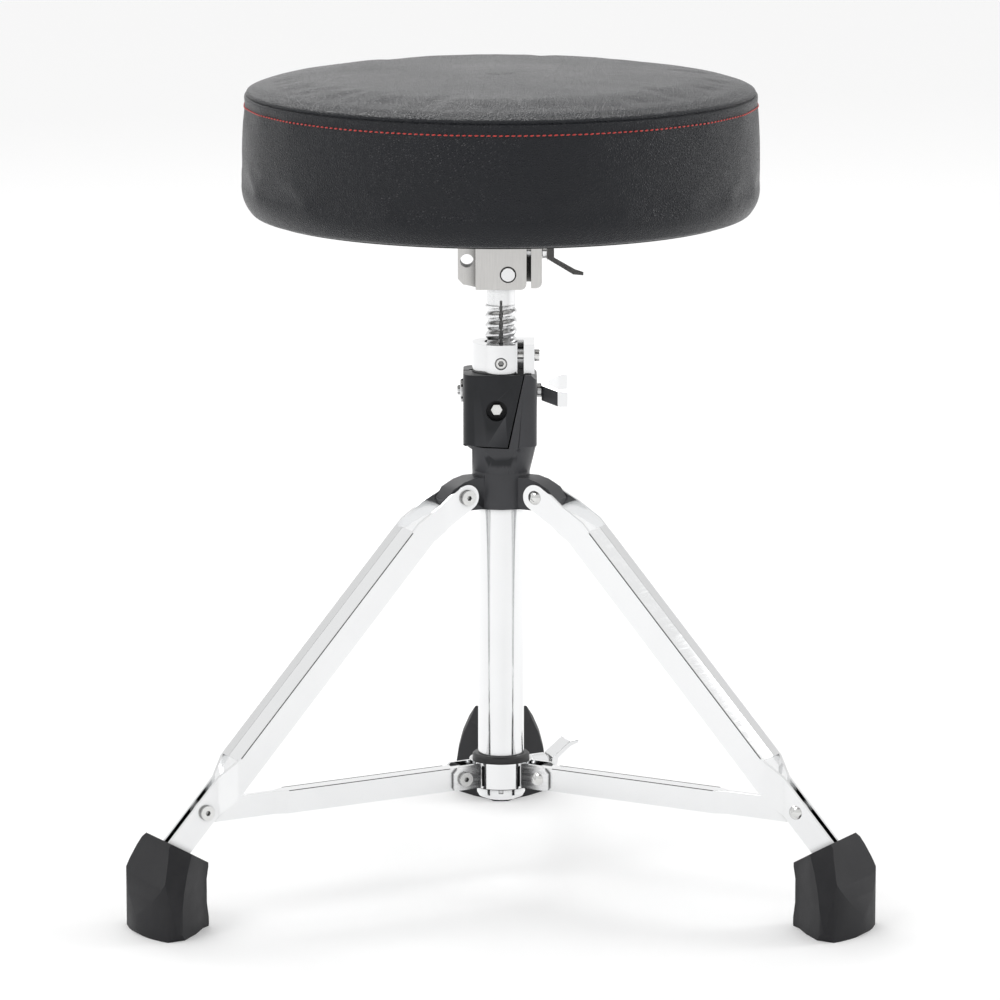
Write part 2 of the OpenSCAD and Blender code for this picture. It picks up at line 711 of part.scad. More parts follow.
// One pressed strip with its half of the roofed outer face
module leg_strip() {
    difference() {
        union() {
            intersection() {
                sideways(20) leg_outline();
                linear_extrude(height = far) strip_band();
            }
            translate([roof_start[0], 0, roof_start[1]])
                rotate([0, leg_slope, 0]) rotate([90, 0, 90])
                    linear_extrude(height = roof_len)
                        polygon([
                            [leg_mid_half - strip_t, strip_half - 4], [leg_mid_half, strip_half - 4],
                            [leg_mid_half, strip_half - 0.8], [leg_mid_half - 1, strip_half],
                            [0.1, strip_half + roof_h], [0.1, strip_half + roof_h - strip_t],
                            [leg_mid_half - strip_t, strip_half - strip_t]
                        ]);
        }
        cross_bar(leg_top, bolt_r + pin_gap, 0, 20);
        cross_bar(leg_low, bolt_r + pin_gap, 0, 20);
    }
}

module leg_strip_a(az) color(chrome) at_azimuth(az) leg_strip();
module leg_strip_b(az) color(chrome) at_azimuth(az) mirror([0, 1, 0]) leg_strip();

// The two headed ends of the brace pivot; the brace's flat end runs between them
module leg_rivets(az) color(steel)
    at_azimuth(az) {
        bolt_ends(leg_low, leg_low_half, 5);
        for (side = [-1, 1])
            translate([0, side * (leg_low_half - strip_t / 2), 0])
                cross_bar(leg_low, bolt_r, -strip_t / 2, strip_t / 2);
    }

module leg_pivot_bolts() color(steel)
    for (az = [az_back, az_left, az_right]) at_azimuth(az) {
        cross_bar(leg_top, bolt_r, -leg_top_half, leg_top_half);
        bolt_ends(leg_top, leg_top_half + 0.1, 5.2);
    }

// ---------- braces ----------

module brace(az) color(chrome)
    at_azimuth(az)
        difference() {
            intersection() {
                sideways(brace_half) union() {
                    translate([hub_pivot_x, brace_z]) circle(r = brace_h / 2);
                    translate([foot_pivot_x, brace_z]) circle(r = brace_h / 2 - 0.5);
                    translate([hub_pivot_x, brace_z - brace_h / 2])
                        square([foot_pivot_x - hub_pivot_x - 8, brace_h]);
                    translate([hub_pivot_x, brace_z - brace_h / 2 + 0.5])
                        square([foot_pivot_x - hub_pivot_x, brace_h - 1]);
                }
                linear_extrude(height = far)
                    polygon([
                        [0, brace_half], [foot_pivot_x - brace_flat_len, brace_half],
                        [foot_pivot_x - brace_flat_len + 8, leg_low_half - strip_t - brace_gap],
                        [far, leg_low_half - strip_t - brace_gap], [far, -leg_low_half + strip_t + brace_gap],
                        [foot_pivot_x - brace_flat_len + 8, -leg_low_half + strip_t + brace_gap],
                        [foot_pivot_x - brace_flat_len, -brace_half], [0, -brace_half]
                    ]);
            }
            // Hollow of the channel, open below
            translate([ear_reach + 4, -brace_half + brace_wall, brace_z - brace_h])
                cube([
                    foot_pivot_x - brace_flat_len - ear_reach - 8,
                    2 * (brace_half - brace_wall), 1.5 * brace_h - brace_wall
                ]);
            cross_bar([hub_pivot_x, brace_z], bolt_r + pin_gap, -10, 10);
            cross_bar([foot_pivot_x, brace_z], bolt_r + slide_gap, -10, 10);
        }

// ---------- feet ----------

// One side of the foot's plan, from the outer ridge round to the inner side
function foot_plan(side) = [
    for (p = [[3.2, 0.5], [6.2, 0.78], [8.6, 0.92], [11.5, 0.985], [15, 1], [19, 0.965], [35, 0.6],
    [46, 0.27]])
        [foot_outer - p[0] * foot_d / 53.5, side * foot_half_w * p[1]]
];

module foot(az) color(rubber)
    at_azimuth(az)
        difference() {
            intersection() {
                // Plan: two outer faces meeting at a ridge, drawn in to a narrow inner side
                linear_extrude(height = foot_h)
                    polygon(concat(
                        [[foot_outer, 0]],
                        foot_plan(1),
                        [[foot_inner + 0.6, 5], [foot_inner, 0], [foot_inner + 0.6, -5]],
                        [for (k = [7:-1:0]) foot_plan(-1)[k]]
                    ));
                // Side view: outer face leaning in, inner face hollowed
                sideways(foot_half_w + 1)
                    polygon(concat(
                        [[foot_inner + 1, 0], [foot_outer - 2, 0], [foot_outer, 3]],
                        [for (p = [[0.6, 0.21], [3.8, 0.42], [6.8, 0.58], [10.2, 0.74], [15.4, 0.96]])
                            [foot_outer - p[0], foot_h * p[1]]],
                        [[foot_outer - 18, foot_h], [foot_inner, foot_h - 20.5],
                            [foot_inner + 2.6, foot_h * 0.52], [foot_inner + 2.6, foot_h * 0.26],
                            [foot_inner, 3]]
                    ));
                // Front view: sides bowing in towards the top
                rotate([90, 0, 90]) linear_extrude(height = far)
                    polygon(concat(
                        [[-foot_half_w + 3, 0], [foot_half_w - 3, 0]],
                        [for (a = [0:10:50])
                            [foot_half_w - 44 + 44 * cos(a), 6 + (foot_h - 5) * sin(a) / sin(50)]],
                        [for (a = [50:-10:0])
                            [-foot_half_w + 44 - 44 * cos(a), 6 + (foot_h - 5) * sin(a) / sin(50)]]
                    ));
            }
            // Pocket for the lower end of the leg
            translate([leg_end[0], 0, leg_end[1]])
                rotate([0, leg_slope, 0])
                    translate([-leg_tail - 20, -leg_low_half - pocket_gap, -strip_half - pocket_gap])
                        cube([leg_tail + 20 + pocket_gap, 2 * (leg_low_half + pocket_gap),
                            strip_w + 2 * pocket_gap]);
            // Notch in the top that the brace's end passes through as the legs fold
            translate([foot_inner - 1, -leg_low_half + strip_t - pocket_gap, notch_low_z])
                cube([foot_d + 2, 2 * (leg_low_half - strip_t + pocket_gap), foot_h]);
        }

// ---------- drawing ----------

seat_cushion();
seat_stitching();
seat_board();
seat_bracket();
bracket_screws();
bracket_clamp_bolt();
seat_wing_screw();
screw_rod();
memory_collar();
collar_set_screw();
collar_clamp_bolt();
receiver();
thread_nut();
clamp_jaw();
jaw_hinge_pin();
jaw_hex_nut();
jaw_bolt_washer();
jaw_wing_screw();
centre_tube();
tube_end_cap();
leg_pivot_bolts();
hub_ring();
hub_bush();
brace_pivot_bolts();
hub_wing_screw();
leg_strip_a(az_back);  // back_leg_strip_a
leg_strip_b(az_back);  // back_leg_strip_b
leg_rivets(az_back);  // back_leg_rivets
foot(az_back);  // back_foot
leg_strip_a(az_left);  // left_leg_strip_a
leg_strip_b(az_left);  // left_leg_strip_b
leg_rivets(az_left);  // left_leg_rivets
foot(az_left);  // left_foot
leg_strip_a(az_right);  // right_leg_strip_a
leg_strip_b(az_right);  // right_leg_strip_b
leg_rivets(az_right);  // right_leg_rivets
foot(az_right);  // right_foot
brace(az_back);  // back_brace
brace(az_left);  // left_brace
brace(az_right);  // right_brace
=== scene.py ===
import json
import math

import bmesh
import bpy
from mathutils import Matrix, Vector, noise
from mathutils.bvhtree import BVHTree


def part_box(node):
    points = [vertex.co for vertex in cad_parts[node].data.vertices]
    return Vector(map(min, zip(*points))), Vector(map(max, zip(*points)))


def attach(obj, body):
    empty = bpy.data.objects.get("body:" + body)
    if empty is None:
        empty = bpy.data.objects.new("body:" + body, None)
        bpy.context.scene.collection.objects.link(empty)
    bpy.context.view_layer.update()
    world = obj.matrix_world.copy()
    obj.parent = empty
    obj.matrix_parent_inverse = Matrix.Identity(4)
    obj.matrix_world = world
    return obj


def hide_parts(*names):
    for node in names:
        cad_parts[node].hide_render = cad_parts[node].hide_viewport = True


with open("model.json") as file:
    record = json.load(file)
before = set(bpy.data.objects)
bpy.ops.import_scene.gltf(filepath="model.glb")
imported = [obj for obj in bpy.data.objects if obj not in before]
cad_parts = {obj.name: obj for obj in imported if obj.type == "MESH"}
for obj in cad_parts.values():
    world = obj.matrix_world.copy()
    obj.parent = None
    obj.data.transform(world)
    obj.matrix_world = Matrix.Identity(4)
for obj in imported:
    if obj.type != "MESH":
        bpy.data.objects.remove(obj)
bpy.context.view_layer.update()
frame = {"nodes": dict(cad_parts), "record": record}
MM = 0.001
TURN = 2 * math.pi


# ---------------------------------------------------------------- material building

def new_material(name):
    """An empty node material: returns it with its node tree and its Principled shader."""
    mat = bpy.data.materials.new(name)
    mat.use_nodes = True
    tree = mat.node_tree
    tree.nodes.clear()
    out = tree.nodes.new("ShaderNodeOutputMaterial")
    shader = tree.nodes.new("ShaderNodeBsdfPrincipled")
    tree.links.new(shader.outputs["BSDF"], out.inputs["Surface"])
    return mat, tree, shader


def object_coords(tree, scale=(1, 1, 1)):
    """Object coordinates through a Mapping node."""
    coord = tree.nodes.new("ShaderNodeTexCoord")
    mapping = tree.nodes.new("ShaderNodeMapping")
    mapping.inputs["Scale"].default_value = scale
    tree.links.new(coord.outputs["Object"], mapping.inputs["Vector"])
    return mapping.outputs["Vector"]


def noise_node(tree, vector, scale, detail=3, rough=0.5):
    node = tree.nodes.new("ShaderNodeTexNoise")
    node.inputs["Scale"].default_value = scale
    node.inputs["Detail"].default_value = detail
    node.inputs["Roughness"].default_value = rough
    tree.links.new(vector, node.inputs["Vector"])
    return node.outputs["Fac"]


def cells_node(tree, vector, scale, feature="F1"):
    node = tree.nodes.new("ShaderNodeTexVoronoi")
    node.feature = feature
    node.inputs["Scale"].default_value = scale
    tree.links.new(vector, node.inputs["Vector"])
    return node.outputs["Distance"]


def ramp(tree, value, stops, colours=False):
    """A colour ramp: stops are (position, grey or colour)."""
    node = tree.nodes.new("ShaderNodeValToRGB")
    points = node.color_ramp.elements
    while len(points) < len(stops):
        points.new(0.5)
    for point, (place, shade) in zip(points, stops):
        point.position = place
        point.color = (*shade, 1) if colours else (shade, shade, shade, 1)
    tree.links.new(value, node.inputs["Fac"])
    return node.outputs["Color"]


def maths(tree, kind, a, b):
    """One Math node; a and b are sockets or numbers."""
    node = tree.nodes.new("ShaderNodeMath")
    node.operation = kind
    for socket, value in zip(node.inputs, (a, b)):
        if isinstance(value, (int, float)):
            socket.default_value = value
        else:
            tree.links.new(value, socket)
    return node.outputs["Value"]


def bump(tree, shader, height, distance, strength=1.0, after=None):
    """A Bump node of that height in metres, feeding the shader's normal."""
    node = tree.nodes.new("ShaderNodeBump")
    node.inputs["Distance"].default_value = distance
    node.inputs["Strength"].default_value = strength
    tree.links.new(height, node.inputs["Height"])
    if after:
        tree.links.new(after, node.inputs["Normal"])
    tree.links.new(node.outputs["Normal"], shader.inputs["Normal"])
    return node.outputs["Normal"]


def edge_wear(tree, low=0.52, high=0.6):
    """Bright on worn convex edges, from the mesh's pointiness."""
    geometry = tree.nodes.new("ShaderNodeNewGeometry")
    return ramp(tree, geometry.outputs["Pointiness"], [(low, 0.0), (high, 1.0)])


def crevice_shade(tree, colour, reach, least):
    """The colour, darkened where surfaces within reach shade it."""
    shade = tree.nodes.new("ShaderNodeAmbientOcclusion")
    shade.inputs["Distance"].default_value = reach
    shade.samples = 6
    amount = ramp(tree, shade.outputs["AO"], [(0.25, least), (0.85, 1.0)])
    mix = tree.nodes.new("ShaderNodeMix")
    mix.data_type = "RGBA"
    mix.blend_type = "MULTIPLY"
    mix.inputs["Factor"].default_value = 1.0
    tree.links.new(colour, mix.inputs["A"])
    tree.links.new(amount, mix.inputs["B"])
    return mix.outputs["Result"]


def chrome_material(name, tint=(0.845, 0.85, 0.855), rough=0.05, haze=0.10):
    """Polished chrome: faint smears in the gloss, hairline marks and a slight tint drift."""
    mat, tree, shader = new_material(name)
    shader.inputs["Metallic"].default_value = 1.0
    place = object_coords(tree)
    smear = noise_node(tree, place, 24, 4, 0.6)
    fine = noise_node(tree, object_coords(tree, (60, 60, 900)), 1, 2)
    gloss = ramp(tree, smear, [(0.35, rough), (0.75, haze)])
    marks = ramp(tree, fine, [(0.45, 0.0), (0.75, 0.05)])
    tree.links.new(maths(tree, "ADD", gloss, marks), shader.inputs["Roughness"])
    low = tuple(c * 0.97 for c in tint)
    colour = ramp(tree, smear, [(0.3, low), (0.7, tint)], True)
    tree.links.new(crevice_shade(tree, colour, 6 * MM, 0.12), shader.inputs["Base Color"])
    bump(tree, shader, smear, 0.00003, 0.5)
    return mat


def brushed_material(name, tint=(0.66, 0.65, 0.635)):
    """Brushed steel: long fine upright grain in colour, gloss and bump."""
    mat, tree, shader = new_material(name)
    shader.inputs["Metallic"].default_value = 1.0
    shader.inputs["Anisotropic"].default_value = 0.45
    grain = noise_node(tree, object_coords(tree, (2200, 2200, 60)), 1, 3, 0.6)
    patch = noise_node(tree, object_coords(tree), 60, 2)
    low = tuple(c * 0.88 for c in tint)
    colour = ramp(tree, grain, [(0.3, low), (0.7, tint)], True)
    tree.links.new(crevice_shade(tree, colour, 14 * MM, 0.04), shader.inputs["Base Color"])
    tree.links.new(maths(tree, "ADD", ramp(tree, grain, [(0.3, 0.26), (0.7, 0.38)]),
                         ramp(tree, patch, [(0.4, 0.0), (0.7, 0.05)])), shader.inputs["Roughness"])
    bump(tree, shader, grain, 0.00004, 0.6)
    return mat


def screw_material(name):
    """Bright plated steel, a little duller and more marked than the chrome."""
    return chrome_material(name, (0.74, 0.74, 0.73), 0.12, 0.26)


def casting_material():
    """Black coated casting: satin, with a fine orange-peel skin and rubbed edges."""
    mat, tree, shader = new_material("black_satin_casting")
    place = object_coords(tree)
    peel = noise_node(tree, place, 900, 2)
    cloud = noise_node(tree, place, 45, 3)
    worn = edge_wear(tree, 0.56, 0.70)
    base = ramp(tree, cloud, [(0.3, (0.010, 0.011, 0.013)), (0.7, (0.018, 0.019, 0.022))], True)
    mix = tree.nodes.new("ShaderNodeMix")
    mix.data_type = "RGBA"
    tree.links.new(maths(tree, "MULTIPLY", worn, 0.25), mix.inputs["Factor"])
    tree.links.new(base, mix.inputs["A"])
    mix.inputs["B"].default_value = (0.16, 0.16, 0.17, 1)
    tree.links.new(mix.outputs["Result"], shader.inputs["Base Color"])
    tree.links.new(ramp(tree, cloud, [(0.3, 0.30), (0.7, 0.42)]), shader.inputs["Roughness"])
    shader.inputs["Specular IOR Level"].default_value = 0.28
    bump(tree, shader, peel, 0.00006, 0.5)
    return mat


def painted_shade_strip_material():
    """Painted shade: a dull dark colour for thin strips laid where pressed folds and the keyway fall into
    shade.
    """
    mat, tree, shader = new_material("dark_fold_painted_shade")
    shader.inputs["Metallic"].default_value = 0.6
    speck = noise_node(tree, object_coords(tree), 800, 2)
    tree.links.new(ramp(tree, speck, [(0.3, 0.05), (0.7, 0.16)]), shader.inputs["Base Color"])
    shader.inputs["Roughness"].default_value = 0.5
    return mat


def vinyl_material():
    """Black upholstery vinyl: pebble grain, soft sheen and slightly uneven gloss."""
    mat, tree, shader = new_material("black_pebble_vinyl")
    place = object_coords(tree)
    warp = noise_node(tree, place, 140, 2)
    pebble = cells_node(tree, place, 620, "SMOOTH_F1")
    crease = cells_node(tree, place, 620, "DISTANCE_TO_EDGE")
    cloud = noise_node(tree, place, 9, 4)
    colour = ramp(tree, cloud, [(0.3, (0.0045, 0.0055, 0.0080)), (0.7, (0.0070, 0.0082, 0.0115))], True)
    tree.links.new(colour, shader.inputs["Base Color"])
    gloss = maths(tree, "ADD", ramp(tree, cloud, [(0.3, 0.27), (0.7, 0.34)]),
                  ramp(tree, pebble, [(0.1, 0.0), (0.7, 0.06)]))
    tree.links.new(gloss, shader.inputs["Roughness"])
    shader.inputs["Specular IOR Level"].default_value = 0.30
    height = maths(tree, "ADD", maths(tree, "MULTIPLY", crease, 1.2), maths(tree, "MULTIPLY", warp, 0.6))
    bump(tree, shader, height, 0.0009, 0.8)
    return mat


def thread_material():
    """Red twisted thread."""
    mat, tree, shader = new_material("red_twisted_thread")
    twist = noise_node(tree, object_coords(tree, (1500, 1500, 2600)), 1, 2)
    colour = ramp(tree, twist, [(0.3, (0.32, 0.010, 0.008)), (0.7, (0.62, 0.028, 0.018))], True)
    tree.links.new(colour, shader.inputs["Base Color"])
    shader.inputs["Roughness"].default_value = 0.55
    shader.inputs["Sheen Weight"].default_value = 0.3
    bump(tree, shader, twist, 0.0001, 0.6)
    return mat


def rubber_material():
    """Moulded rubber: matt, dusty in patches, with a faint moulding texture."""
    mat, tree, shader = new_material("black_moulded_rubber")
    place = object_coords(tree)
    skin = noise_node(tree, place, 1400, 2)
    dust = noise_node(tree, place, 38, 5, 0.65)
    colour = ramp(tree, dust, [(0.35, (0.008, 0.008, 0.010)), (0.8, (0.020, 0.020, 0.022))], True)
    tree.links.new(colour, shader.inputs["Base Color"])
    tree.links.new(ramp(tree, dust, [(0.3, 0.50), (0.8, 0.70)]), shader.inputs["Roughness"])
    shader.inputs["Specular IOR Level"].default_value = 0.3
    bump(tree, shader, skin, 0.00015, 0.5)
    return mat


def plastic_material():
    """Black moulded plastic with a fine spark-eroded grain."""
    mat, tree, shader = new_material("black_moulded_plastic")
    place = object_coords(tree)
    grain = noise_node(tree, place, 1800, 2)
    cloud = noise_node(tree, place, 60, 2)
    colour = ramp(tree, cloud, [(0.3, (0.012, 0.012, 0.013)), (0.7, (0.020, 0.020, 0.021))], True)
    tree.links.new(colour, shader.inputs["Base Color"])
    tree.links.new(ramp(tree, cloud, [(0.3, 0.36), (0.7, 0.5)]), shader.inputs["Roughness"])
    bump(tree, shader, grain, 0.0001, 0.5)
    return mat


def plywood_material():
    """Black-stained plywood: face grain showing through, with ply layers on the rim."""
    mat, tree, shader = new_material("black_stained_plywood")
    grain = noise_node(tree, object_coords(tree, (14, 160, 160)), 1, 5, 0.6)
    plies = tree.nodes.new("ShaderNodeTexWave")
    plies.bands_direction = "Z"
    plies.inputs["Scale"].default_value = 190
    tree.links.new(object_coords(tree), plies.inputs["Vector"])
    colour = ramp(tree, grain, [(0.3, (0.012, 0.011, 0.010)), (0.7, (0.030, 0.026, 0.022))], True)
    mix = tree.nodes.new("ShaderNodeMix")
    mix.data_type = "RGBA"
    mix.blend_type = "MULTIPLY"
    mix.inputs["Factor"].default_value = 0.35
    tree.links.new(colour, mix.inputs["A"])
    tree.links.new(plies.outputs["Color"], mix.inputs["B"])
    tree.links.new(mix.outputs["Result"], shader.inputs["Base Color"])
    shader.inputs["Roughness"].default_value = 0.6
    bump(tree, shader, grain, 0.0002, 0.4)
    return mat


MATERIALS = {
    "chrome": chrome_material("polished_chrome"),
    "bracket_steel": brushed_material("brushed_bracket_steel"),
    "fastener_steel": screw_material("plated_screw_steel"),
    "black_casting": casting_material(),
    "seat_vinyl": vinyl_material(),
    "red_thread": thread_material(),
    "rubber": rubber_material(),
    "black_plastic": plastic_material(),
    "board": plywood_material(),
}
# The dark strips along the leg and brace folds and in the rod's keyway are painted shade.
SHADE_STRIP_PAINT = painted_shade_strip_material()
ROD_PLATING = chrome_material("rod_plating", (0.88, 0.885, 0.89), 0.24, 0.34)
NODE_SLOT = {s["node"]: s["material_slot"] for s in frame["record"]["subparts"]}
BODY_OF = {n: b for b, members in frame["record"]["behaviour"]["bodies"].items() for n in members}


# ---------------------------------------------------------------- mesh building

def finish_piece(name, bm, slot, body, smooth_angle=35, replaces=(), material=None):
    """Turns a bmesh into a piece: doubles merged, faces outward, shaded, painted and riding on its body."""
    bmesh.ops.remove_doubles(bm, verts=bm.verts, dist=1e-6)
    bmesh.ops.recalc_face_normals(bm, faces=bm.faces)
    mesh = bpy.data.meshes.new(name)
    bm.to_mesh(mesh)
    bm.free()
    obj = bpy.data.objects.new(name, mesh)
    bpy.context.scene.collection.objects.link(obj)
    mesh.materials.append(material or MATERIALS[slot])
    for face in mesh.polygons:
        face.use_smooth = True
    mesh.set_sharp_from_angle(angle=math.radians(smooth_angle))
    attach(obj, body)
    if replaces:
        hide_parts(*replaces)
    return obj


def paint_cad(node):
    """Gives a CAD node that stays in view its finish."""
    obj = frame["nodes"][node]
    obj.data.materials.clear()
    obj.data.materials.append(MATERIALS[NODE_SLOT[node]])


def add_rounding(obj, width, segments=2, angle=30):
    """Rounds a piece's sharp edges so that they catch the light."""
    mod = obj.modifiers.new("rounded_edges", "BEVEL")
    mod.width = width
    mod.segments = segments
    mod.limit_method = "ANGLE"
    mod.angle_limit = math.radians(angle)
    mod.miter_outer = "MITER_ARC"
    even = obj.modifiers.new("even_shading", "WEIGHTED_NORMAL")
    even.keep_sharp = True
    even.weight = 90


def rounded_copy(node, width, segments=2, angle=30):
    """A CAD node's own shape, merged into clean faces with rounded edges; it stands for the node."""
    bm = bmesh.new()
    bm.from_mesh(frame["nodes"][node].data)
    bmesh.ops.remove_doubles(bm, verts=bm.verts, dist=2e-6)
    bmesh.ops.dissolve_limit(bm, angle_limit=math.radians(0.6), verts=bm.verts, edges=bm.edges)
    obj = finish_piece(node + "_piece", bm, NODE_SLOT[node], BODY_OF[node], replaces=(node,))
    add_rounding(obj, width, segments, angle)
    return obj


def lathe(bm, profile, steps, axis=(0, 0, 1), centre=(0, 0, 0)):
    """Spins (radius, height) points into a closed skin round Z."""
    verts = [bm.verts.new(Vector((r, 0, z))) for r, z in profile]
    edges = [bm.edges.new(pair) for pair in zip(verts, verts[1:])]
    bmesh.ops.spin(bm, geom=verts + edges, cent=centre, axis=axis, angle=TURN, steps=steps, use_merge=True)
    bmesh.ops.remove_doubles(bm, verts=bm.verts, dist=1e-6)


# ---------------------------------------------------------------- seat

def arc(cx, cz, r, start, end, count):
    """Points along an arc in the (radius, height) plane; angles in degrees from +radius."""
    step = (end - start) / count
    turns = [math.radians(start + step * i) for i in range(count + 1)]
    return [(cx + r * math.cos(a), cz + r * math.sin(a)) for a in turns]


def even_points(points, gap):
    """The same outline with points no further apart than gap."""
    made = [points[0]]
    for (r0, z0), (r1, z1) in zip(points, points[1:]):
        count = max(1, math.ceil(math.hypot(r1 - r0, z1 - z0) / gap))
        made += [(r0 + (r1 - r0) * i / count, z0 + (z1 - z0) * i / count) for i in range(1, count + 1)]
    return made


def seat_levels():
    """The heights and radii that the cover is laid out on, read from the seat's parts."""
    low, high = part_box("seat_cushion")
    stitch_low, stitch_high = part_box("seat_stitching")
    stitch_z = (stitch_low.z + stitch_high.z) / 2
    return {"low": low.z, "top": high.z, "radius": high.x, "stitch": stitch_z, "seam": stitch_z + 8 * MM,
            "seam_r": high.x - 3.9 * MM, "board_r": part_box("seat_board")[1].x}


def top_outline(at):
    """The top panel from the middle out to the seam: nearly flat, with a soft rolled edge."""
    roll, seam_r, top = 22 * MM, at["seam_r"], at["top"]
    flat_r = seam_r - roll
    points = [(0.0, top)]
    for i in range(1, 9):
        r = flat_r * i / 8
        points.append((r, top - 1.6 * MM * (r / flat_r) ** 2))
    edge = points[-1][1]
    for i in range(1, 11):
        a = math.radians(9 * i)
        points.append((flat_r + roll * math.sin(a), edge - (edge - at["seam"]) * (1 - math.cos(a))))
    return points


def band_outline(at):
    """The side band from the seam down and in under the board."""
    seam_r, radius = at["seam_r"], at["radius"]
    start = (seam_r - 0.7 * MM, at["seam"] - 1.3 * MM)
    lip = [start, (seam_r + 0.3 * MM, at["seam"] - 0.9 * MM), (seam_r + 1.2 * MM, at["seam"] - 1.3 * MM),
           (seam_r + 1.7 * MM, at["seam"] - 2.6 * MM)]
    bend_in, bend_up = 12.4 * MM, 18 * MM
    low_edge = at["low"] + bend_up * (1 + math.sin(math.radians(8)))
    outer = radius - bend_in * (1 - math.cos(math.radians(8)))
    side = []
    for i in range(1, 13):
        t = i / 12
        swell = math.sin(min(1, t * 1.45) * math.pi / 2) - max(0, t - 0.69) * 0.05
        side.append((seam_r + 1.7 * MM + (outer - seam_r - 1.7 * MM) * swell,
                     lip[-1][1] + (low_edge - lip[-1][1]) * t))
    corner = [(radius - bend_in + bend_in * x, at["low"] + bend_up + bend_up * z)
              for x, z in arc(0, 0, 1, 4, -90, 11)]
    return lip + side + corner + [(at["board_r"] - 3 * MM, at["low"])]


def settle_cover(obj, pinned, steps=20, most=5 * MM):
    """Lets the cover swell under air pressure between its pinned lines, then keeps the settled shape."""
    mesh = obj.data
    before = [v.co.copy() for v in mesh.vertices]
    group = obj.vertex_groups.new(name="held")
    group.add(pinned, 1.0, "REPLACE")
    mod = obj.modifiers.new("cover_cloth", "CLOTH")
    cloth = mod.settings
    cloth.quality = 6
    cloth.mass = 0.35
    cloth.tension_stiffness = cloth.compression_stiffness = 18
    cloth.shear_stiffness = 9
    cloth.bending_stiffness = 20
    cloth.use_pressure = True
    cloth.uniform_pressure_force = 4
    cloth.shrink_min = 0.004
    cloth.vertex_group_mass = "held"
    cloth.effector_weights.gravity = 0
    mod.collision_settings.use_collision = False
    scene = bpy.context.scene
    scene.frame_start, scene.frame_end = 1, steps
    mod.point_cache.frame_start, mod.point_cache.frame_end = 1, steps
    for number in range(1, steps + 1):
        scene.frame_set(number)
    settled = obj.evaluated_get(bpy.context.evaluated_depsgraph_get())
    moved = [v.co.copy() for v in settled.data.vertices]
    obj.modifiers.remove(mod)
    scene.frame_set(1)
    for vert, old, new in zip(mesh.vertices, before, moved):
        shift = new - old
        if shift.length > most:
            shift *= most / shift.length
        vert.co = old + shift
    mesh.update()


def pad_unevenness(co, at):
    """A slow, slight unevenness of the foam below the cover."""
    slow = noise.noise(Vector((co.x * 16, co.y * 16, 3.1)))
    waves = slow + 0.5 * noise.noise(Vector((co.x * 37, co.y * 37, 8.2)))
    reach = min(1.0, max(0.0, (at["seam_r"] - math.hypot(co.x, co.y)) / (26 * MM)))
    return 0.45 * MM * waves * reach


def make_seat():
    """The cushion cover: top panel and side band meeting in a folded seam, wrapped under the board."""
    at = seat_levels()
    top = even_points(top_outline(at), 6 * MM)
    profile = top + even_points(band_outline(at), 4.5 * MM)
    bm = bmesh.new()
    lathe(bm, profile, 256)
    for vert in bm.verts:
        if vert.co.z > at["seam"] + 1 * MM:
            vert.co.z += pad_unevenness(vert.co, at)
    obj = finish_piece("seat_cushion_cover", bm, "seat_vinyl", "seat", 180, ("seat_cushion",))
    held = [v.index for v in obj.data.vertices
            if abs(v.co.z - at["seam"]) < 1.7 * MM and math.hypot(v.co.x, v.co.y) > at["seam_r"] - 0.8 * MM
            or v.co.z < at["low"] + 1.5 * MM]
    settle_cover(obj, held, most=2 * MM)
    sub = obj.modifiers.new("cover_smoothing", "SUBSURF")
    sub.levels = sub.render_levels = 1
    return obj


def make_stitches(cover):
    """The row of red stitches below the seam, each a short thread lying on the cover's own surface."""
    at = seat_levels()
    surface = BVHTree.FromObject(cover, bpy.context.evaluated_depsgraph_get())
    pitch, length, thick, proud = 4.1 * MM, 3.0 * MM, 0.55 * MM, 0.2 * MM
    count = round(TURN * at["radius"] / pitch)
    bm = bmesh.new()
    for i in range(count):
        lean = math.radians(5 + 3 * math.sin(i * 1.7))
        spin = Matrix.Rotation(TURN * i / count, 4, "Z")
        outside = Vector((at["radius"] + 30 * MM, 0, at["stitch"]))
        hit = surface.ray_cast(spin @ outside, spin @ Vector((-1, 0, 0)))[0]
        radius = math.hypot(hit.x, hit.y) + proud
        place = (spin @ Matrix.Translation((radius, 0, at["stitch"])) @ Matrix.Rotation(lean, 4, "X"))
        made = bmesh.ops.create_uvsphere(bm, u_segments=6, v_segments=5, radius=1)
        bmesh.ops.scale(bm, vec=(thick, length / 2, thick), verts=made["verts"])
        bmesh.ops.transform(bm, matrix=place, verts=made["verts"])
    return finish_piece("seat_red_stitches", bm, "red_thread", "seat", 180, ("seat_stitching",))


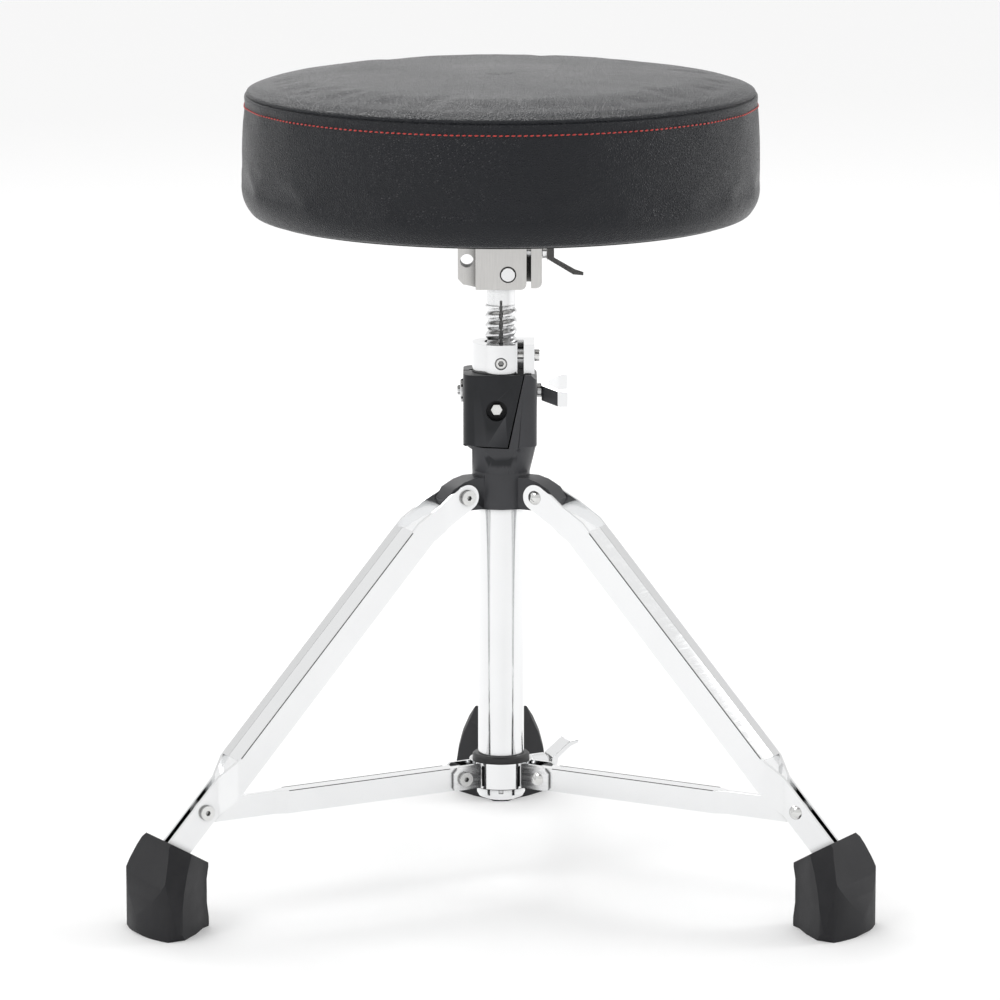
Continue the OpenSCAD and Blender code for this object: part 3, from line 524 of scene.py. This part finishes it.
def make_underside():
    """The cover's edge, turned under the board and stapled down."""
    at = seat_levels()
    z = at["low"]
    bm = bmesh.new()
    inner, outer = at["board_r"] - 20 * MM, at["board_r"] - 2 * MM
    lathe(bm, [(outer, z + 0.4 * MM), (outer, z - 1.1 * MM),
               (inner + 1 * MM, z - 1.3 * MM), (inner, z - 0.7 * MM),
               (inner, z + 0.4 * MM), (outer, z + 0.4 * MM)], 128)
    for vert in bm.verts:
        reach = math.hypot(vert.co.x, vert.co.y)
        if reach < inner + 2 * MM:
            turn = math.atan2(vert.co.y, vert.co.x)
            grow = 1 + 1.6 * MM * math.sin(turn * 29 + 2 * math.sin(turn * 5)) / reach
            vert.co.x *= grow
            vert.co.y *= grow
    finish_piece("cover_turned_edge", bm, "seat_vinyl", "seat", 50)
    bm = bmesh.new()
    count = 52
    for i in range(count):
        place = (Matrix.Rotation(TURN * (i + 0.15 * math.sin(i * 2.3)) / count, 4, "Z")
                 @ Matrix.Translation((at["board_r"] - 12 * MM, 0, z - 1.45 * MM))
                 @ Matrix.Rotation(math.radians(12 * math.sin(i * 1.3)), 4, "Z"))
        made = bmesh.ops.create_cube(bm, size=1)
        bmesh.ops.scale(bm, vec=(1.1 * MM, 10 * MM, 0.7 * MM), verts=made["verts"])
        bmesh.ops.transform(bm, matrix=place, verts=made["verts"])
    finish_piece("cover_staples", bm, "fastener_steel", "seat", 30)


# ---------------------------------------------------------------- screw rod

def make_rod():
    """The rod with its true helical rounded thread, plain neck above and a keyway down the front, darkened
    by a strip of painted shade.
    """
    low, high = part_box("screw_rod")
    crest, root, neck, pitch = high.x, high.x - 1.9 * MM, high.x - 1.2 * MM, 6.7 * MM
    thread_top = low.z + 219 * MM
    steps = 96
    turns = math.ceil((thread_top - low.z) / pitch) + 2
    profile = []
    for i in range(11):
        wave = 0.5 + 0.5 * math.cos(TURN * i / 10)
        profile.append((root + (crest - root) * wave ** 0.8, low.z - 2 * pitch + pitch * i / 10))
    bm = bmesh.new()
    verts = [bm.verts.new(Vector((r, 0, z))) for r, z in profile]
    edges = [bm.edges.new(pair) for pair in zip(verts, verts[1:])]
    bmesh.ops.spin(bm, geom=verts + edges, axis=(0, 0, 1), dvec=(0, 0, pitch / steps),
                   angle=TURN, steps=steps)
    for vert in bm.verts:
        if vert.co.y < 0 and abs(vert.co.x) < 0.9 * MM:
            vert.co.y = max(vert.co.y, -(root + 0.15 * MM))
    one_turn = bm.verts[:] + bm.edges[:] + bm.faces[:]
    for turn in range(1, turns + 1):
        made = bmesh.ops.duplicate(bm, geom=one_turn)["geom"]
        copied = [v for v in made if isinstance(v, bmesh.types.BMVert)]
        bmesh.ops.translate(bm, vec=(0, 0, pitch * turn), verts=copied)
    bmesh.ops.remove_doubles(bm, verts=bm.verts, dist=0.01 * MM)
    for level, side in ((low.z, -1), (thread_top, 1)):
        cut = bmesh.ops.bisect_plane(bm, geom=bm.verts[:] + bm.edges[:] + bm.faces[:], dist=1e-7,
                                     plane_co=(0, 0, level), plane_no=(0, 0, side), clear_outer=True)
        rim = [e for e in cut["geom_cut"] if isinstance(e, bmesh.types.BMEdge)]
        bmesh.ops.holes_fill(bm, edges=rim)
    top = high.z
    lathe(bm, [(0, thread_top - 1 * MM), (neck, thread_top - 1 * MM), (neck, top - 0.8 * MM),
               (neck - 0.8 * MM, top), (0, top)], 96)
    finish_piece("screw_rod_piece", bm, "chrome", "rod", 40, ("screw_rod",), ROD_PLATING)
    # A thin dark strip of painted shade along the keyway's floor.
    bm = bmesh.new()
    bmesh.ops.create_cube(bm, size=1)
    length = thread_top + 5 * MM - low.z - 2 * MM
    bmesh.ops.scale(bm, vec=(1.7 * MM, 1.2 * MM, length), verts=bm.verts)
    bmesh.ops.translate(bm, vec=(0, -root - 0.1 * MM, low.z + 1 * MM + length / 2), verts=bm.verts)
    finish_piece("rod_keyway_shade_strip", bm, "chrome", "rod", 30, material=SHADE_STRIP_PAINT)


# ---------------------------------------------------------------- legs and braces

LEG_TURN = {"back": 90, "left": 210, "right": 330}
LEG_SLOPE = math.radians(46.9)
LOW_PIVOT = Vector((232.9, 0, 79)) * MM
BEND_X = 66 * MM
LEG_FACE_HALF = 13
LEG_FACE_OUT = 8.5 * MM
BRACE_HALF = 5.5
BRACE_TOP = 86.9


def bar_between(bm, start, end, thick, sides=6):
    """A thin round bar from start to end."""
    start, end = Vector(start), Vector(end)
    turn = (end - start).to_track_quat("Z", "Y").to_matrix().to_4x4()
    made = bmesh.ops.create_cone(bm, cap_ends=True, segments=sides, radius1=thick, radius2=thick,
                                 depth=(end - start).length)
    bmesh.ops.transform(bm, matrix=Matrix.Translation((start + end) / 2) @ turn, verts=made["verts"])


def make_painted_fold_shade(side):
    """Thin dark bars of painted shade along the folds of a leg's roofed face and along the top of its
    brace.
    """
    turn = Matrix.Rotation(math.radians(LEG_TURN[side]), 4, "Z")
    along = Vector((math.cos(LEG_SLOPE), 0, -math.sin(LEG_SLOPE)))
    out = Vector((math.sin(LEG_SLOPE), 0, math.cos(LEG_SLOPE))) * LEG_FACE_OUT
    bend = Vector((BEND_X, 0, LOW_PIVOT.z + (LOW_PIVOT.x - BEND_X) * math.tan(LEG_SLOPE)))
    bm = bmesh.new()
    for lateral in (-LEG_FACE_HALF, LEG_FACE_HALF):
        across = Vector((0, lateral * MM, 0))
        bar_between(bm, bend + along * 7 * MM + out + across,
                    LOW_PIVOT - along * 42 * MM + out + across, 0.42 * MM)
    bmesh.ops.transform(bm, matrix=turn, verts=bm.verts)
    finish_piece(side + "_leg_fold_shade_strips", bm, "chrome", side + "_leg", material=SHADE_STRIP_PAINT)
    bm = bmesh.new()
    for lateral in (-BRACE_HALF, BRACE_HALF):
        start, end = Vector((44, lateral, BRACE_TOP)) * MM, Vector((170, lateral, BRACE_TOP)) * MM
        bar_between(bm, start, end, 0.3 * MM)
    bmesh.ops.transform(bm, matrix=turn, verts=bm.verts)
    finish_piece(side + "_brace_fold_shade_strips", bm, "chrome", side + "_brace_arm", material=SHADE_STRIP_PAINT)


# ---------------------------------------------------------------- all the pieces

make_stitches(make_seat())
make_underside()
make_rod()
ROUNDED = {
    "seat_bracket": (0.7, 2), "bracket_clamp_bolt": (0.4, 2), "seat_wing_screw": (0.7, 3),
    "memory_collar": (0.6, 3), "collar_set_screw": (0.3, 1), "collar_clamp_bolt": (0.4, 2),
    "receiver": (1.0, 3), "clamp_jaw": (1.0, 3), "jaw_hex_nut": (0.4, 2), "jaw_bolt_washer": (0.5, 2),
    "jaw_wing_screw": (0.7, 3), "tube_end_cap": (0.6, 2), "leg_pivot_bolts": (0.4, 2), "hub_ring": (0.5, 2),
    "hub_bush": (0.6, 2), "brace_pivot_bolts": (0.4, 2), "hub_wing_screw": (0.7, 3),
}
for side in LEG_TURN:
    ROUNDED[side + "_leg_strip_a"] = ROUNDED[side + "_leg_strip_b"] = (0.5, 2)
    ROUNDED[side + "_leg_rivets"] = (0.4, 2)
    ROUNDED[side + "_foot"] = (3.0, 4)
    ROUNDED[side + "_brace"] = (0.5, 2)
for side in LEG_TURN:
    make_painted_fold_shade(side)
for node, (width, segments) in ROUNDED.items():
    rounded_copy(node, width * MM, segments)
for node in frame["nodes"]:
    if node not in ROUNDED and node not in ("seat_cushion", "seat_stitching", "screw_rod"):
        paint_cad(node)


# ---------------------------------------------------------------- studio

def add_area(name, place, target, size, power):
    """A soft rectangular light facing the target."""
    data = bpy.data.lights.new(name, "AREA")
    data.shape = "RECTANGLE"
    data.size, data.size_y = size
    data.energy = power
    obj = bpy.data.objects.new(name, data)
    bpy.context.scene.collection.objects.link(obj)
    obj.location = place
    obj.rotation_euler = (Vector(target) - Vector(place)).to_track_quat("-Z", "Y").to_euler()


def add_panel(name, place, target, size, shade, glow=0.0):
    """A flat studio panel facing the target: a dark flag, or a white reflector if it glows."""
    bm = bmesh.new()
    bmesh.ops.create_grid(bm, x_segments=1, y_segments=1, size=0.5)
    turn = (Vector(target) - Vector(place)).to_track_quat("Z", "Y").to_matrix().to_4x4()
    bmesh.ops.scale(bm, vec=(size[0], size[1], 1), verts=bm.verts)
    bmesh.ops.transform(bm, matrix=Matrix.Translation(place) @ turn, verts=bm.verts)
    mesh = bpy.data.meshes.new(name)
    bm.to_mesh(mesh)
    bm.free()
    obj = bpy.data.objects.new(name, mesh)
    bpy.context.scene.collection.objects.link(obj)
    mat, _, shader = new_material(name)
    shader.inputs["Base Color"].default_value = (shade, shade, shade, 1)
    shader.inputs["Roughness"].default_value = 0.9
    shader.inputs["Emission Color"].default_value = (1, 1, 1, 1)
    shader.inputs["Emission Strength"].default_value = glow
    mesh.materials.append(mat)


def make_studio():
    """A pale floor, narrow dark flags at both sides of the camera and an even bright sky."""
    add_panel("floor", (0, 0, 0), (0, 0, 1), (14, 14), 0.95, 0.05)
    for side, width in ((-1, 0.16), (1, 0.30)):
        a = math.radians(60)
        place = (side * 2.6 * math.sin(a), -2.6 * math.cos(a), 1.0)
        add_panel("flag", place, (0, 0, 0.5), (width, 2.4), 0.05)
    add_panel("boom_flag", (0, -2.6, 2.9), (0, 0, 0.4), (2.2, 0.9), 0.04)
    world = bpy.data.worlds.new("studio_sky")
    world.use_nodes = True
    tree = world.node_tree
    coord = tree.nodes.new("ShaderNodeTexCoord")
    split = tree.nodes.new("ShaderNodeSeparateXYZ")
    tree.links.new(coord.outputs["Generated"], split.inputs[0])
    depth = maths(tree, "ADD", maths(tree, "MULTIPLY", split.outputs["Y"], 0.5), 0.5)
    front = ramp(tree, depth, [(0.0, 0.82), (0.3, 0.95), (0.7, 0.95), (0.93, 0.78), (0.965, 1.0)])
    back = tree.nodes["Background"]
    tree.links.new(front, back.inputs["Color"])
    back.inputs["Strength"].default_value = 1.0
    bpy.context.scene.world = world
    add_area("key_box", (-1.8, -1.6, 2.6), (0, 0, 0.4), (1.2, 1.2), 18)
    add_area("side_box", (2.4, 0.6, 1.6), (0, 0, 0.5), (0.8, 2.0), 12)
    add_area("back_box", (-0.6, 2.4, 2.4), (0, 0, 0.5), (2.0, 1.0), 20)


def make_camera():
    """The view from the front, looking down about eleven degrees."""
    data = bpy.data.cameras.new("camera")
    data.sensor_width = 36
    data.lens = 36 * 5.8405
    data.clip_end = 40
    cam = bpy.data.objects.new("camera", data)
    bpy.context.scene.collection.objects.link(cam)
    cam.location = (0, -3.9657, 1.0363)
    cam.rotation_euler = (math.radians(90 - 10.914), 0, 0)
    data.shift_x = -0.001
    bpy.context.scene.camera = cam


make_studio()
make_camera()
bpy.context.scene.view_settings.view_transform = "Standard"
